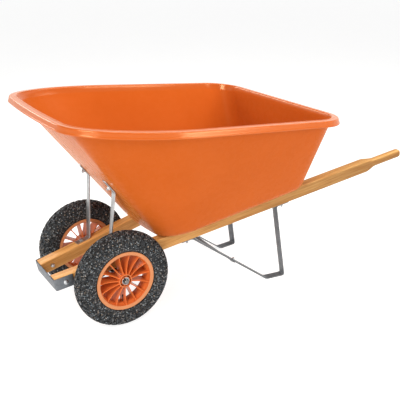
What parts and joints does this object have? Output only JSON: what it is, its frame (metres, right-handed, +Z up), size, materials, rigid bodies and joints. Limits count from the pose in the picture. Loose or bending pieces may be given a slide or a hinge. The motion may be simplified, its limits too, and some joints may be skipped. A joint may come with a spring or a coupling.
{
  "type": "wheelbarrow",
  "caption": "Wheelbarrow with a deep moulded tub on splayed wooden beams that end in grips, bent steel strap legs, and spoked wheels with pneumatic tyres on a through axle.",
  "frame": {"origin": "on the floor, under the middle of the bounding box", "axes": "+X from the wheels towards the handles, +Y towards the user's right hand as they push, +Z up"},
  "size_m": [1.525, 0.875, 0.7891],
  "materials": {
    "tub_plastic": "moulded, glossy orange",
    "rim_plastic": "moulded, orange",
    "wood": "clear-coated pale hardwood",
    "zinc_steel": "galvanised",
    "leg_steel": "dark grey",
    "fastener_steel": "zinc plated",
    "axle_steel": "bright drawn bar",
    "tyre": "matt black rubber",
    "inner_rubber": "matt black"
  },
  "bodies": {
    "frame": {"tub": "tub_plastic", "nose_bracket": "zinc_steel", "axle": "axle_steel", "right_beam": "wood", "right_leg": "leg_steel", "right_strut": "zinc_steel", "right_axle_clamp": "zinc_steel", "right_axle_spacer": "axle_steel", "right_axle_washer": "fastener_steel", "right_axle_split_pin": "fastener_steel", "right_tub_front_bolt": "fastener_steel", "right_tub_front_nut": "fastener_steel", "right_tub_rear_bolt": "fastener_steel", "right_tub_rear_nut": "fastener_steel", "right_strut_foot_bolt": "fastener_steel", "right_strut_foot_nut": "fastener_steel", "right_clamp_screw": "fastener_steel", "right_strut_top_bolt": "fastener_steel", "right_strut_top_nut": "fastener_steel", "right_nose_bolt": "fastener_steel", "right_nose_nut": "fastener_steel", "right_cross_brace": "leg_steel", "right_brace_bolt": "fastener_steel", "right_brace_nut": "fastener_steel", "right_brace_screw": "fastener_steel", "left_beam": "wood", "left_leg": "leg_steel", "left_strut": "zinc_steel", "left_axle_clamp": "zinc_steel", "left_axle_spacer": "axle_steel", "left_axle_washer": "fastener_steel", "left_axle_split_pin": "fastener_steel", "left_tub_front_bolt": "fastener_steel", "left_tub_front_nut": "fastener_steel", "left_tub_rear_bolt": "fastener_steel", "left_tub_rear_nut": "fastener_steel", "left_strut_foot_bolt": "fastener_steel", "left_strut_foot_nut": "fastener_steel", "left_clamp_screw": "fastener_steel", "left_strut_top_bolt": "fastener_steel", "left_strut_top_nut": "fastener_steel", "left_nose_bolt": "fastener_steel", "left_nose_nut": "fastener_steel", "left_cross_brace": "leg_steel", "left_brace_bolt": "fastener_steel", "left_brace_nut": "fastener_steel", "left_brace_screw": "fastener_steel"},
    "right_wheel": {"right_tyre": "tyre", "right_inner_tube": "inner_rubber", "right_wheel_rim": "rim_plastic", "right_outer_bush": "axle_steel", "right_inner_bush": "axle_steel", "right_valve_cap": "inner_rubber"},
    "left_wheel": {"left_tyre": "tyre", "left_inner_tube": "inner_rubber", "left_wheel_rim": "rim_plastic", "left_outer_bush": "axle_steel", "left_inner_bush": "axle_steel", "left_valve_cap": "inner_rubber"}
  },
  "joints": [
    {"name": "right_wheel_spin", "type": "hinge", "parent": "frame", "child": "right_wheel", "pos_m": [-0.52749, 0.1785, 0.18], "axis": [0, 1, 0], "continuous": true},
    {"name": "left_wheel_spin", "type": "hinge", "parent": "frame", "child": "left_wheel", "pos_m": [-0.52749, -0.1785, 0.18], "axis": [0, 1, 0], "continuous": true}
  ]
}
